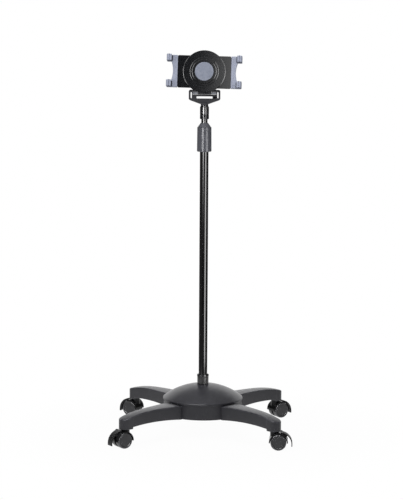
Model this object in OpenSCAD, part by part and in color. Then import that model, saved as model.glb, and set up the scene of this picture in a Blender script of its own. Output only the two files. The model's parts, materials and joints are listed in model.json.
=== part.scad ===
// Rolling floor stand for a tablet, in millimetres, +Z up, the floor at z = 0 under the pole.
// The tablet side faces -Y. Rest pose: pole fully lowered, head tilted back.

/* [Casters] */
// Diameter of a caster wheel
wheel_d = 40; // [34:1:48]
// Width of one wheel of a caster
wheel_w = 14.7; // [12:0.1:18]
// Space between the two wheels of a caster
wheel_gap = 8; // [7:0.2:11]
// Clearance between a wheel and its hood
wheel_clear = 0.9; // [0.5:0.1:1.5]
// Clearance between the hood's web and a wheel
web_clear = 0.5; // [0.3:0.1:1]
// Bevel on a wheel's edges
wheel_bevel = 1.2; // [0.6:0.1:2]
// Radius of the dished face of a wheel
wheel_dish_r = 14; // [11:0.5:15]
// Depth of the dished face of a wheel
wheel_dish = 1.2; // [0.6:0.1:2]
// Thickness of a hood's shell
hood_wall = 3; // [2.2:0.1:4]
// Distance of the axle behind the swivel axis
trail = 10; // [8:0.5:12]
// Diameter of a hood's neck
neck_d = 22; // [18:0.5:24]
// Height of the neck above the hood
neck_rise = 2.1; // [1.8:0.1:5]
// Gap between the neck and the leg above it
swivel_gap = 0.5; // [0.3:0.1:1]
// Diameter of an axle
axle_d = 6; // [5:0.5:8]
// Diameter of a swivel stem
stem_d = 8; // [7:0.5:9]
// Length of a stem above the neck
stem_reach = 23; // [18:0.5:24]
// Outer diameter of a stem socket
socket_d = 14; // [13:0.5:18]
// Width of a brake pedal
pedal_w = 20; // [14:0.5:22]
// Thickness of a brake pedal
pedal_t = 2.2; // [1.8:0.1:2.6]
// Side clearance of a brake pedal
pedal_clear = 0.4; // [0.3:0.05:0.8]
// Diameter of a pedal's trunnions
trunnion_d = 2.4; // [2:0.1:2.8]
// Swivel of the front right caster
swivel_fr = 0; // [-180:1:180]
// Swivel of the front left caster
swivel_fl = -146; // [-180:1:180]
// Swivel of the back right caster
swivel_br = 32; // [-180:1:180]
// Swivel of the back left caster
swivel_bl = 150; // [-180:1:180]

/* [Base] */
// Distance of each caster stem from the pole axis
leg_reach = 264.5; // [240:0.5:310]
// Width of a leg
leg_w = 32.6; // [29:0.2:38]
// Depth of the boss under a leg's end
boss_drop = 3.5; // [2.5:0.1:6]
// Height of a leg at the hub
leg_h_hub = 37; // [34:0.5:42]
// Height of a leg over the caster
leg_h_stem = 26; // [25:0.5:30]
// Height of a leg at its rounded tip
leg_h_tip = 21.5; // [18:0.5:24]
// Widening of a leg towards the drum, on each side
leg_flare = 11; // [4:0.5:14]
// Rise of a leg's underside between its ends
leg_arch = 4.5; // [2:0.5:8]
// Length of the boss on the drum's side of the stem
boss_run = 12; // [6:0.5:16]
// Gap between a leg and the hub's opening
leg_gap = 0.6; // [0.3:0.1:1.2]
// Radius of the hub's drum
hub_r = 101; // [92:0.5:112]
// Thickness of the hub's wall
hub_wall = 4; // [3:0.5:6]
// Thickness of the hub's floor
hub_floor = 4; // [3:0.5:6]
// Height of the hub's underside above the legs' underside
hub_raise = 1; // [0:0.5:3]
// Radius of the hub's central post
post_r = 20; // [17:0.5:22]
// Overhang of the dome's rim past the drum
rim_over = 2; // [0:0.2:3]
// Height of the dome's rim
rim_h = 4; // [3:0.2:7]
// Rise of the dome above its rim
dome_rise = 35; // [30:0.5:40]
// Thickness of the dome
dome_wall = 3; // [2:0.1:4]
// Gap between the leg's top and the dome's rim
rim_gap = 1; // [0.5:0.1:2.5]
// Diameter of the leg bolts
leg_bolt_d = 6; // [5:0.5:8]
// Diameter of the pole's bolt
pole_bolt_d = 10; // [8:0.5:12]

/* [Pole] */
// Diameter of the outer tube
pole_d = 22; // [21:0.2:24]
// Wall of the outer tube
pole_wall = 1.2; // [1:0.1:1.6]
// Height of the outer tube's top above the floor
pole_top = 772; // [640:1:900]
// Diameter of the ferrule on the dome
ferrule_d = 30; // [26:0.2:32]
// Height of the ferrule
ferrule_h = 25; // [18:0.5:34]
// Chamfer on the ferrule's top
ferrule_cut = 2; // [1:0.1:2.4]
// Diameter of the inner tube
inner_d = 16; // [15:0.2:16.4]
// Wall of the inner tube
inner_wall = 1.2; // [1:0.1:1.4]
// Length of the inner tube hidden in the outer tube
inner_hidden = 535; // [505:1:560]
// Clearance of every running fit, on the radius
running_clear = 0.05; // [0.03:0.01:0.09]
// Clearance of parts that pass each other freely
free_clear = 0.4; // [0.35:0.05:0.6]

/* [Clutch] */
// Diameter of the clutch collar's lower edge
collar_d = 37; // [36.2:0.2:40]
// Diameter of the clutch collar's shoulder
collar_top_d = 36; // [32.6:0.2:36.8]
// Height of the collar's barrel
collar_h = 60; // [54:0.5:66]
// Height of the collar's cone
cone_h = 12.6; // [11:0.2:16]
// Width of the seam under the cone
seam_h = 0.8; // [0.5:0.1:1.4]
// Depth of the seam under the cone
seam_t = 0.9; // [0.5:0.1:1.2]
// Thickness of the threaded sleeve
sleeve_wall = 2.5; // [2:0.1:3]
// Length of the threaded sleeve
sleeve_h = 39; // [30:0.5:42]

/* [Head mount] */
// Diameter of the coupler
coupler_d = 22.8; // [20.6:0.2:25]
// Diameter of the coupler's neck
coupler_neck_d = 19.4; // [16.4:0.2:20]
// Height of the coupler's body
coupler_h = 19; // [16:0.5:28]
// Height of the coupler's shoulder
shoulder_h = 4.2; // [3.6:0.1:8]
// Height of the lock ring under the coupler
ring_h = 11.7; // [8:0.1:16]
// Height of tube that shows between the clutch and the lock ring
tube_show = 10; // [6:0.5:20]
// Diameter of the pan stud
stud_d = 7; // [6:0.2:7.4]
// Width of the yoke
yoke_w = 80; // [78:0.2:90]
// Thickness of the yoke
yoke_t = 8; // [7.8:0.1:11]
// Height of the yoke's straight sides
yoke_side_h = 25.4; // [24.4:0.1:28]
// Height of the yoke's tapered foot
yoke_foot_h = 13.4; // [12:0.1:20]
// Radius of the yoke's upper corners
yoke_corner = 4.5; // [2:0.5:6]
// Width of the yoke's window
window_w = 41; // [36:0.5:46]
// Height of the yoke's window
window_h = 5.7; // [5:0.1:6.4]
// Width of each side slot of the yoke
slot_w = 3.2; // [2.6:0.1:4]
// Height of each side slot of the yoke
slot_h = 16; // [14:0.2:17]
// Thickness of the yoke's outer rim at a slot
slot_rim = 4.5; // [3.4:0.1:5]
// Thickness of the ear that holds the hinge pin
ear_t = 1.5; // [1.2:0.1:2]
// Gap between the hinge's moving pieces and the yoke's lips above its sleeves
lip_gap = 0.5; // [0.4:0.1:1]
// Diameter of the hinge pin
pin_d = 3.2; // [2.6:0.1:3.4]
// Diameter of the grey hinge sleeves
sleeve_d = 5.5; // [5:0.1:6]
// Length of each hinge sleeve
hinge_sleeve_l = 13.2; // [11:0.1:14]
// Head diameter of the tension screw
tension_d = 6; // [5:0.1:6.6]
// Tilt of the head, away from upright
tilt_back = 10; // [0:0.5:60]

/* [Holder] */
// Height of the disc's centre above the hinge
disc_rise = 50.7; // [48:0.1:58]
// Roll of the holder in the photographed pose
roll = 1.2; // [-5:0.1:5]
// Distance of the bracket's plate behind the holder, from the hinge
plate_back = 13; // [12:0.5:16]
// Thickness of the bracket's plate
plate_t = 5.5; // [4:0.1:7]
// Radius of the bracket's plate
plate_r = 26; // [24:0.5:32]
// Thickness of the friction washer
washer_t = 1.4; // [1:0.1:2]
// Gap between the friction washer and the bracket
washer_gap = 0.1; // [0.05:0.05:0.3]
// Diameter of the rotation bolt
rotor_d = 8; // [7:0.2:9]
// Width of the holder's body
body_w = 134.6; // [130:0.2:146]
// Height of the holder's body
body_h = 80.8; // [76:0.2:90]
// Corner radius of the holder's body
body_corner = 3; // [1.5:0.5:5]
// Thickness of the body's back cover
cover_t = 2; // [1.5:0.1:3]
// Thickness of the body in front of its cover
body_t = 12; // [11.4:0.1:15]
// Radius of the round disc
disc_r = 53.8; // [50:0.2:60]
// Thickness of the round disc
disc_t = 5; // [4:0.1:7]
// Bevel on the disc's edge
disc_bevel = 1.6; // [1:0.1:2.4]
// Radius of the disc's first raised ring
ring_one_r = 36.4; // [34:0.1:40]
// Radius of the disc's second raised ring
ring_two_r = 31; // [28:0.1:33]
// Height of each raised ring
ring_step = 1.2; // [0.8:0.1:1.8]
// Radius of the grey centre pad
pad_r = 23.7; // [20:0.1:26]
// Thickness of the grey centre pad
pad_t = 2.4; // [2:0.1:3]
// Height of the pad above the ring that holds it
pad_proud = 0.4; // [0.2:0.1:1]

/* [Jaws] */
// Gap between a closed jaw and the body
jaw_gap = 0.3; // [0.2:0.1:0.8]
// Distance of a finger's outer face from the middle
finger_x = 95; // [92.5:0.5:102]
// Distance of a jaw's hollowed edge from the middle
waist_x = 79.4; // [77.6:0.2:83]
// Widening of a jaw from its waist to its fingers
waist_flare = 4.4; // [3:0.1:6]
// Height of a finger
finger_h = 16.5; // [14:0.5:22]
// Height of the fingers past the body
finger_past = 0.3; // [0.1:0.1:4]
// Thickness of a finger's wall
finger_t = 3.5; // [3:0.1:4.5]
// Height of the fingers above the body's face
finger_reach = 24; // [21:0.5:32]
// Thickness of a finger's lip
lip_t = 3; // [2.2:0.1:4]
// Width of a finger's lip
lip_w = 12.6; // [9:0.1:13.4]
// Thickness of a finger's rubber pad
grip_t = 1.6; // [1:0.1:2]
// Height of a jaw's tongue
tongue_h = 16.4; // [13:0.2:17]
// Distance of the tongues from the middle
tongue_low = 12.3; // [11.6:0.1:13]
// Length of a jaw's tongue
tongue_l = 72; // [66:1:76]
// Diameter of a jaw's spring
spring_d = 6.4; // [5:0.2:7]

/* [Hidden] */
$fn = 64;
eps = 0.01;
past = 1;

wheel_r = wheel_d / 2;
hood_in = wheel_r + wheel_clear;
hood_r = hood_in + hood_wall;
hood_top = wheel_r + hood_r;
caster_w = wheel_gap + 2 * wheel_w;
web_t = wheel_gap - 2 * web_clear;
neck_top = hood_top + neck_rise;
boss_bottom = neck_top + swivel_gap;
leg_bottom = boss_bottom + boss_drop;
stem_top = neck_top + stem_reach;
stem_foot = hood_top - 12;
socket_top = stem_top + past;

hub_bottom = leg_bottom + hub_raise;
hub_floor_top = hub_bottom + hub_floor;
leg_top = leg_bottom + leg_h_hub;
hub_top = leg_top + rim_gap;
rim_r = hub_r + rim_over;
rim_z = hub_top + rim_h;
dome_top = rim_z + dome_rise;
dome_ball = (rim_r * rim_r + dome_rise * dome_rise) / (2 * dome_rise);
dome_ball_z = dome_top - dome_ball;
pole_r = pole_d / 2;
pole_bore = pole_r - pole_wall;
pole_foot = hub_bottom + 9;
post_top = dome_top - 11;
leg_root = post_r + 4;
bolt_near = 50;
bolt_far = 80;
bolt_head_h = 4.5;
bolt_grip = 20;
leg_run = leg_reach - hub_r;
leg_steps = 10;
ferrule_z = dome_ball_z + sqrt(dome_ball * dome_ball - pole_r * pole_r) + 0.05;

inner_r = inner_d / 2;
inner_bore = inner_r - inner_wall;
sleeve_r = pole_r + sleeve_wall;
collet_r = pole_r + 0.8;
collet_h = 22;
collet_cone = 10;
collar_z = pole_top - sleeve_h - 4;
collar_lip = 3.4;
cone_z = collar_z + collar_h;
cone_top = cone_z + cone_h;
collar_mouth = inner_r + free_clear;
cone_tip_r = collar_mouth + 0.8;
inner_foot = pole_top - inner_hidden;
glide_h = 12;
glide_plug_h = 18;

ring_z = cone_top + tube_show;
coupler_z = ring_z + ring_h;
shoulder_z = coupler_z + coupler_h;
coupler_top = shoulder_z + shoulder_h;
flange_z = coupler_top - 14;
stud_head_h = 4.6;
stud_head_r = inner_bore - 0.6;
yoke_z = coupler_top + swivel_gap;
yoke_side_z = yoke_z + yoke_foot_h;
yoke_top = yoke_side_z + yoke_side_h;
yoke_half = yoke_w / 2;
slot_out = yoke_half - slot_rim;
slot_in = slot_out - slot_w;
notch_half = slot_in - ear_t;
hinge_z = yoke_top - 8.5;
window_z = yoke_side_z + 3.2;
notch_z = hinge_z - sleeve_d / 2 - 0.85;
slot_z = yoke_side_z + 3.8;
stud_top = window_z - 2;
pin_r = pin_d / 2;
barrel_half = notch_half - hinge_sleeve_l - 0.6;
barrel_r = sleeve_d / 2 + 0.35;
lip_z = hinge_z + sleeve_d / 2 + lip_gap;
lip_half = barrel_half + lip_gap;
tension_x = (window_w / 2 + slot_in) / 2;
tension_z = window_z + window_h / 2;
tension_h = 1.6;

plate_front = plate_back + plate_t;
body_back = plate_front + washer_gap + washer_t;
body_inside = body_back + cover_t;
body_front = body_inside + body_t;
disc_front = body_front + disc_t;
ring_one = disc_front + ring_step;
ring_two = ring_one + ring_step;
pad_face = ring_two + pad_proud;
rotor_r = rotor_d / 2;
rotor_head_r = 9;
rotor_head_h = 4;
rotor_tail = 5;
nut_r = 7.5;
nut_h = 6;
body_half = body_w / 2;
channel_t = body_t - 4;
channel_h = tongue_h + 2 * jaw_gap;
channel_low = tongue_low - jaw_gap;
channel_end = body_half - 8;
screw_x = body_half - 14;
screw_z = body_h / 2 - 5;
screw_r = 1.5;
screw_head_r = 2.8;

jaw_root = body_half + jaw_gap;
jaw_back = body_inside + jaw_gap;
jaw_face = body_front + 1;
jaw_top = body_h / 2 + finger_past;
finger_low = jaw_top - finger_h;
finger_face = body_front + finger_reach;
lip_in = finger_x - lip_w;
lip_line = finger_x - lip_w * 0.58;
lip_line_w = 1;
lip_line_t = 0.8;
waist_r = (finger_low * finger_low + waist_flare * waist_flare) / (2 * waist_flare);
tongue_t = channel_t - 2 * jaw_gap;
tongue_tip = jaw_root - tongue_l;

axle_back = caster_w / 2 - 1;
pedal_x = hood_r / 3;
pedal_z = hood_r - 0.6;
shoe_gap = 2.8;
pedal_barrel = 1.9;
trunnion_l = 2.5;
lug_r = 2.8;
pedal_half = pedal_w / 2;
pedal_bay = pedal_half + pedal_clear;

black = [0.13, 0.13, 0.14];
dark = [0.27, 0.27, 0.29];
grey = [0.64, 0.66, 0.74];
steel = [0.7, 0.71, 0.73];
satin = [0.36, 0.36, 0.38];
white_nylon = [0.85, 0.85, 0.82];

module round_z(r, low, high) {
    translate([0, 0, low])
    cylinder(r = r, h = high - low);
}

module cone_z_part(r_low, r_high, low, high) {
    translate([0, 0, low])
    cylinder(r1 = r_low, r2 = r_high, h = high - low);
}

module block(low, high) {
    translate(low)
    cube(high - low);
}

// A round bar along Y, from the depth near to the depth far in front of the hinge
module round_depth(r, near, far) {
    translate([0, -near, 0])
    rotate([90, 0, 0])
    cylinder(r = r, h = far - near);
}

module flat_depth(near, far) {
    translate([0, -near, 0])
    rotate([90, 0, 0])
    linear_extrude(height = far - near)
    children();
}

module round_x(r, low, high) {
    translate([low, 0, 0])
    rotate([0, 90, 0])
    cylinder(r = r, h = high - low);
}

module round_y(r, low, high) {
    translate([0, high, 0])
    rotate([90, 0, 0])
    cylinder(r = r, h = high - low);
}

module at_leg(turn) {
    rotate([0, 0, turn])
    children();
}

module at_caster(turn, swivel) {
    spot = leg_reach * [cos(turn), sin(turn), 0];
    translate(spot)
    rotate([0, 0, swivel])
    children();
}

module at_axle() {
    translate([trail, 0, wheel_r])
    children();
}

module at_hinge() {
    translate([0, 0, hinge_z])
    rotate([-tilt_back, 0, 0])
    children();
}

module at_disc() {
    at_hinge()
    translate([0, 0, disc_rise])
    rotate([0, roll, 0])
    children();
}

turn_fr = -45;
turn_fl = -135;
turn_br = 45;
turn_bl = 135;
turns = [turn_fr, turn_fl, turn_br, turn_bl];

// Height that a leg's top has lost at the share t of its way from the drum to the caster
function leg_drop(t) = (leg_h_hub - leg_h_stem) * pow(t, 4);

// Height of a leg's arched underside above its two ends
function leg_rise(t) = 4 * leg_arch * t * (1 - t);

// Half the width of a leg, which widens towards the drum
function leg_half(t) = leg_w / 2 + leg_flare * pow(1 - t, 2.2);

module leg_side() {
    shares = [for (i = [0 : leg_steps]) i / leg_steps];
    top = [for (t = shares) [hub_r + t * leg_run, leg_top - leg_drop(t)]];
    under = [for (t = shares) [leg_reach - t * leg_run, leg_bottom + leg_rise(t)]];
    tip = leg_reach + leg_w / 2;
    polygon(concat(
        [[leg_root, leg_bottom], [leg_root, leg_top]],
        top,
        [[tip + past, leg_bottom + leg_h_tip], [tip + past, leg_bottom]],
        under));
}

module leg_plan() {
    shares = [for (i = [0 : leg_steps]) i / leg_steps];
    right = [for (t = shares) [hub_r + t * leg_run, -leg_half(t)]];
    left = [for (t = shares) [leg_reach - t * leg_run, leg_half(1 - t)]];
    difference() {
        union() {
            polygon(concat([[hub_r - 2 * hub_wall, -leg_half(0)]], right, left,
                [[hub_r - 2 * hub_wall, leg_half(0)]]));
            translate([leg_reach, 0])
            circle(r = leg_w / 2);
        }
        circle(r = hub_r + leg_gap);
    }
    translate([leg_root, -leg_w / 2])
    square([hub_r + 2 * past - leg_root, leg_w]);
}

module leg(turn) {
    color(dark)
    at_leg(turn)
    difference() {
        union() {
            intersection() {
                translate([0, leg_w, 0])
                rotate([90, 0, 0])
                linear_extrude(height = 2 * leg_w)
                leg_side();
                translate([0, 0, leg_bottom - past])
                linear_extrude(height = leg_h_hub + 2 * past)
                leg_plan();
            }
            translate([leg_reach, 0, 0])
            round_z(leg_w / 2, boss_bottom, leg_bottom + past);
            block([leg_reach - boss_run, -leg_w / 2, boss_bottom],
                [leg_reach, leg_w / 2, leg_bottom + leg_rise(boss_run / leg_run) + past]);
        }
        round_z(hub_r + leg_gap, leg_bottom - past, hub_floor_top);
        translate([leg_reach, 0, 0])
        round_z(socket_d / 2, boss_bottom - past, socket_top + past);
        for (x = [bolt_near, bolt_far])
            translate([x, 0, 0])
            round_z(leg_bolt_d / 2, hub_bottom, hub_floor_top + bolt_grip + past);
    }
}

module hub_drum() {
    color(dark)
    difference() {
        union() {
            difference() {
                round_z(hub_r, hub_bottom, hub_top);
                round_z(hub_r - hub_wall, hub_floor_top, hub_top + past);
            }
            round_z(post_r, hub_bottom, post_top);
        }
        round_z(pole_r, pole_foot, post_top + past);
        round_z(pole_bolt_d / 2, hub_bottom - past, pole_foot + past);
        for (turn = turns)
            at_leg(turn) {
                block([hub_r - hub_wall - 3 * past, -leg_w / 2 - leg_gap, hub_floor_top - leg_gap],
                    [hub_r + past, leg_w / 2 + leg_gap, hub_top + past]);
                for (x = [bolt_near, bolt_far])
                    translate([x, 0, 0])
                    round_z(leg_bolt_d / 2, hub_bottom - past, hub_floor_top + past);
            }
    }
}

module dome_cover() {
    color(dark)
    difference() {
        intersection() {
            translate([0, 0, dome_ball_z])
            sphere(r = dome_ball);
            round_z(rim_r, hub_top, dome_top + past);
        }
        intersection() {
            translate([0, 0, dome_ball_z])
            sphere(r = dome_ball - dome_wall);
            round_z(rim_r - dome_wall, hub_top - past, dome_top + past);
        }
        round_z(pole_r, hub_top, dome_top + past);
    }
}

module leg_bolts() {
    color(steel)
    for (turn = turns)
        at_leg(turn)
        for (x = [bolt_near, bolt_far])
            translate([x, 0, 0]) {
                round_z(leg_bolt_d, hub_bottom - bolt_head_h, hub_bottom);
                round_z(leg_bolt_d / 2, hub_bottom - eps, hub_floor_top + bolt_grip);
            }
}

module stem_sockets() {
    color(white_nylon)
    for (turn = turns)
        at_leg(turn)
        translate([leg_reach, 0, 0])
        difference() {
            round_z(socket_d / 2, boss_bottom, socket_top + past);
            round_z(stem_d / 2 + running_clear, boss_bottom - past, socket_top);
        }
}

module pole_bolt() {
    washer_r = pole_bolt_d * 1.4;
    color(steel)
    union() {
        translate([0, 0, hub_bottom - 8])
        cylinder(r = pole_bolt_d * 0.92, h = 6.1, $fn = 6);
        round_z(washer_r, hub_bottom - 2, hub_bottom);
        round_z(pole_bolt_d / 2, hub_bottom - 2, pole_foot + 28);
    }
}

module pole_plug() {
    color(steel)
    difference() {
        round_z(pole_bore, pole_foot, pole_foot + 36);
        round_z(pole_bolt_d / 2, pole_foot - past, pole_foot + 30);
    }
}

module pole_ferrule() {
    color(black)
    difference() {
        union() {
            round_z(ferrule_d / 2, ferrule_z, ferrule_z + ferrule_h - ferrule_cut);
            cone_z_part(ferrule_d / 2, ferrule_d / 2 - ferrule_cut,
                ferrule_z + ferrule_h - ferrule_cut, ferrule_z + ferrule_h);
        }
        round_z(pole_r, ferrule_z - past, ferrule_z + ferrule_h + past);
    }
}

module outer_tube() {
    color(black)
    difference() {
        round_z(pole_r, pole_foot, pole_top);
        round_z(pole_bore, pole_foot - past, pole_top + past);
    }
}

module clutch_sleeve() {
    color(white_nylon)
    difference() {
        round_z(sleeve_r, pole_top - sleeve_h, pole_top);
        round_z(pole_r, pole_top - sleeve_h - past, pole_top + past);
    }
}

module clutch_collet() {
    low = pole_top;
    high = low + collet_h;
    slits = 3;
    slit_w = 1.2;
    color(white_nylon)
    difference() {
        union() {
            round_z(collet_r, low, high - collet_cone);
            cone_z_part(collet_r, inner_r + 1.2, high - collet_cone, high);
        }
        round_z(inner_r + running_clear, low - past, high + past);
        for (i = [0 : slits - 1])
            rotate([0, 0, i * 360 / slits])
            block([inner_r / 2, -slit_w / 2, low + 6], [collet_r + past, slit_w / 2, high + past]);
    }
}

module clutch_collar() {
    bore = sleeve_r + running_clear;
    roof = pole_top + collet_h - collet_cone;
    color(satin)
    difference() {
        union() {
            cone_z_part(collar_d / 2, collar_top_d / 2, collar_z, cone_z);
            round_z(collar_top_d / 2 - seam_t, cone_z - eps, cone_z + seam_h + eps);
            cone_z_part(collar_top_d / 2 - 0.3, cone_tip_r, cone_z + seam_h, cone_top);
        }
        round_z(pole_r + free_clear, collar_z - past, collar_z + collar_lip + past);
        round_z(bore, collar_z + collar_lip, roof + eps);
        cone_z_part(bore, collar_mouth, roof, cone_top - 2);
        round_z(collar_mouth, cone_top - 2 - eps, cone_top + past);
    }
}

module inner_tube() {
    color(black)
    difference() {
        round_z(inner_r, inner_foot, flange_z);
        round_z(inner_bore, inner_foot - past, flange_z + past);
    }
}

module glide_plug() {
    color(white_nylon)
    union() {
        round_z(pole_bore - running_clear, inner_foot - glide_h, inner_foot);
        round_z(inner_bore, inner_foot - eps, inner_foot + glide_plug_h);
    }
}

module lock_ring() {
    cut = 1;
    color(black)
    difference() {
        union() {
            cone_z_part(coupler_d / 2 - cut, coupler_d / 2, ring_z, ring_z + cut);
            round_z(coupler_d / 2, ring_z + cut, coupler_z - cut);
            cone_z_part(coupler_d / 2, coupler_d / 2 - cut, coupler_z - cut, coupler_z);
        }
        round_z(inner_r, ring_z - past, coupler_z + past);
    }
}

module coupler() {
    cut = 0.8;
    slope = shoulder_h * 0.4;
    color(black)
    difference() {
        union() {
            cone_z_part(coupler_d / 2 - cut, coupler_d / 2, coupler_z, coupler_z + cut);
            round_z(coupler_d / 2, coupler_z + cut, shoulder_z);
            cone_z_part(coupler_d / 2, coupler_neck_d / 2, shoulder_z, shoulder_z + slope);
            round_z(coupler_neck_d / 2, shoulder_z + slope - eps, coupler_top);
        }
        round_z(inner_r, coupler_z - past, flange_z);
        round_z(stud_d / 2 + running_clear, flange_z - past, coupler_top + past);
    }
}

module yoke_outline() {
    foot = coupler_neck_d / 2 + 1;
    difference() {
        union() {
            polygon([[-foot, yoke_z + 3], [foot, yoke_z + 3], [yoke_half - 3, yoke_side_z - 1],
                [yoke_half, yoke_side_z + 2], [yoke_half, yoke_top - yoke_corner],
                [-yoke_half, yoke_top - yoke_corner], [-yoke_half, yoke_side_z + 2],
                [3 - yoke_half, yoke_side_z - 1]]);
            translate([yoke_corner - yoke_half, yoke_top - 2 * yoke_corner])
            square([yoke_w - 2 * yoke_corner, 2 * yoke_corner]);
            for (side = [-1, 1])
                translate([side * (yoke_half - yoke_corner), yoke_top - yoke_corner])
                circle(r = yoke_corner);
        }
        end_r = 1.5;
        translate([end_r - window_w / 2, window_z])
        square([window_w - 2 * end_r, window_h]);
        translate([-window_w / 2, window_z + end_r])
        square([window_w, window_h - 2 * end_r]);
        for (x = [-1, 1], z = [end_r, window_h - end_r])
            translate([x * (window_w / 2 - end_r), window_z + z])
            circle(r = end_r);
        for (side = [-1, 1])
            translate([side * (slot_in + slot_w / 2), slot_z]) {
                translate([-slot_w / 2, slot_w / 2])
                square([slot_w, slot_h - slot_w]);
                translate([0, slot_w / 2])
                circle(d = slot_w);
                translate([0, slot_h - slot_w / 2])
                circle(d = slot_w);
            }
        translate([-notch_half, notch_z])
        square([2 * notch_half, lip_z - notch_z]);
        translate([-lip_half, notch_z])
        square([2 * lip_half, yoke_top - notch_z + past]);
    }
}

module yoke() {
    color(black)
    difference() {
        union() {
            translate([0, yoke_t / 2, 0])
            rotate([90, 0, 0])
            linear_extrude(height = yoke_t)
            yoke_outline();
            round_z(coupler_neck_d / 2, yoke_z, yoke_z + 6);
        }
        round_z(stud_d / 2, yoke_z - past, stud_top);
        translate([0, 0, hinge_z])
        round_x(pin_r, -slot_in, slot_in);
        translate([tension_x, 0, tension_z])
        round_y(tension_d / 4, -yoke_t, yoke_t);
    }
}

module pan_stud() {
    color(steel)
    union() {
        round_z(stud_head_r, flange_z - free_clear - stud_head_h, flange_z - free_clear);
        round_z(stud_d / 2, flange_z - free_clear - eps, stud_top);
    }
}

module hinge_pin() {
    color(steel)
    translate([0, 0, hinge_z])
    round_x(pin_r, -slot_in, slot_in);
}

module hinge_sleeves() {
    color(grey)
    for (side = [0, 1])
        mirror([side, 0, 0])
        translate([0, 0, hinge_z])
        difference() {
            round_x(sleeve_d / 2, notch_half - hinge_sleeve_l, notch_half);
            round_x(pin_r, 0, notch_half + past);
        }
}

module tension_screw() {
    shank = tension_d / 4;
    color(satin)
    translate([tension_x, 0, tension_z])
    difference() {
        union() {
            round_y(tension_d / 2, -yoke_t / 2 - tension_h, -yoke_t / 2);
            round_y(shank, -yoke_t / 2 - eps, yoke_t / 2 - past);
        }
        translate([0, -yoke_t / 2 - tension_h, 0])
        rotate([90, 0, 0])
        translate([0, 0, -past])
        cylinder(r = 1.6, h = 2 * past, $fn = 6);
    }
}

module tilt_bracket() {
    arm_half = barrel_half;
    color(black)
    at_hinge()
    difference() {
        union() {
            round_x(barrel_r, -barrel_half, barrel_half);
            translate([-arm_half, 0, 0])
            rotate([90, 0, 90])
            linear_extrude(height = 2 * arm_half)
            polygon([[-barrel_r, 0], [-plate_front, plate_front - 6], [-plate_front, disc_rise - 6],
                [-plate_back, disc_rise - 6], [-plate_back, plate_back + 3], barrel_r * [0.7, 0.7]]);
            translate([0, 0, disc_rise])
            round_depth(plate_r, plate_back, plate_front);
        }
        round_x(pin_r + running_clear, -barrel_half - past, barrel_half + past);
        translate([0, 0, disc_rise])
        round_depth(rotor_r + running_clear, plate_back - past, plate_front + past);
    }
}

module friction_washer() {
    color(white_nylon)
    at_disc()
    difference() {
        round_depth(plate_r - 4, body_back - washer_t, body_back);
        round_depth(rotor_r, plate_front, body_back + past);
    }
}

module rotor_bolt() {
    color(steel)
    at_disc()
    union() {
        round_depth(rotor_head_r, body_front - rotor_head_h, body_front);
        round_depth(rotor_r, rotor_tail, body_front - rotor_head_h + eps);
    }
}

module rotor_nut() {
    color(steel)
    at_disc()
    difference() {
        translate([0, free_clear - plate_back + nut_h, 0])
        rotate([90, 0, 0])
        cylinder(r = nut_r, h = nut_h, $fn = 6);
        round_depth(rotor_r, 0, plate_front);
    }
}

module body_face() {
    inset = [body_w - 2 * body_corner, body_h - 2 * body_corner];
    union() {
        square([body_w, inset[1]], center = true);
        square([inset[0], body_h], center = true);
        for (x = [-1, 1], z = [-1, 1])
            translate([x * inset[0] / 2, z * inset[1] / 2])
            circle(r = body_corner);
    }
}

module at_screws() {
    for (x = [-1, 1], z = [-1, 1])
        translate([x * screw_x, 0, z * screw_z])
        children();
}

module back_cover() {
    color(black)
    at_disc()
    difference() {
        flat_depth(body_back, body_inside)
        body_face();
        round_depth(rotor_r, body_back - past, body_inside + past);
        at_screws() {
            round_depth(screw_r, body_back - past, body_inside + past);
            round_depth(screw_head_r, body_back - past, body_back + cover_t / 2);
        }
    }
}

module cover_screws() {
    color(steel)
    at_disc()
    at_screws()
    union() {
        round_depth(screw_head_r, body_back + 0.1, body_back + cover_t / 2);
        round_depth(screw_r, body_back + cover_t / 2 - eps, body_inside + 7);
    }
}

module holder_body() {
    color(black)
    at_disc()
    difference() {
        flat_depth(body_inside, body_front)
        body_face();
        round_depth(rotor_head_r, body_front - rotor_head_h, body_front + past);
        round_depth(rotor_r, body_inside - past, body_front);
        at_screws()
        round_depth(screw_r, body_inside - past, body_inside + 7);
        for (turn = [0, 180])
            rotate([0, turn, 0])
            block_depth(-channel_end, body_half + past, -channel_low - channel_h, -channel_low,
                body_inside - past, body_inside + channel_t);
    }
}

// A box from x_low to x_high and z_low to z_high, between two depths in front of the hinge
module block_depth(x_low, x_high, z_low, z_high, near, far) {
    block([x_low, -far, z_low], [x_high, -near, z_high]);
}

module holder_disc() {
    color(black)
    at_disc()
    difference() {
        union() {
            round_depth(disc_r, body_front, disc_front - disc_bevel);
            translate([0, disc_bevel - disc_front, 0])
            rotate([90, 0, 0])
            cylinder(r1 = disc_r, r2 = disc_r - disc_bevel, h = disc_bevel);
            round_depth(ring_one_r, disc_front - eps, ring_one);
            round_depth(ring_two_r, ring_one - eps, ring_two);
        }
        round_depth(pad_r, pad_face - pad_t, pad_face + past);
    }
}

module centre_pad() {
    edge = 0.6;
    color(grey)
    at_disc()
    union() {
        round_depth(pad_r, pad_face - pad_t, pad_face - pad_proud);
        translate([0, pad_proud - pad_face, 0])
        rotate([90, 0, 0])
        cylinder(r1 = pad_r, r2 = pad_r - edge, h = pad_proud);
    }
}

module jaw_half_cut() {
    for (side = [0, 1])
        mirror([0, side])
        translate([jaw_root - past, body_h / 2])
        square([waist_x - jaw_root + past, finger_past + past]);
}

module jaw_plate() {
    difference() {
        translate([jaw_root, -jaw_top])
        square([finger_x - jaw_root, 2 * jaw_top]);
        intersection() {
            translate([waist_x + waist_r, 0])
            circle(r = waist_r);
            translate([jaw_root, -finger_low])
            square([finger_x, 2 * finger_low]);
        }
        jaw_half_cut();
    }
}

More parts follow.
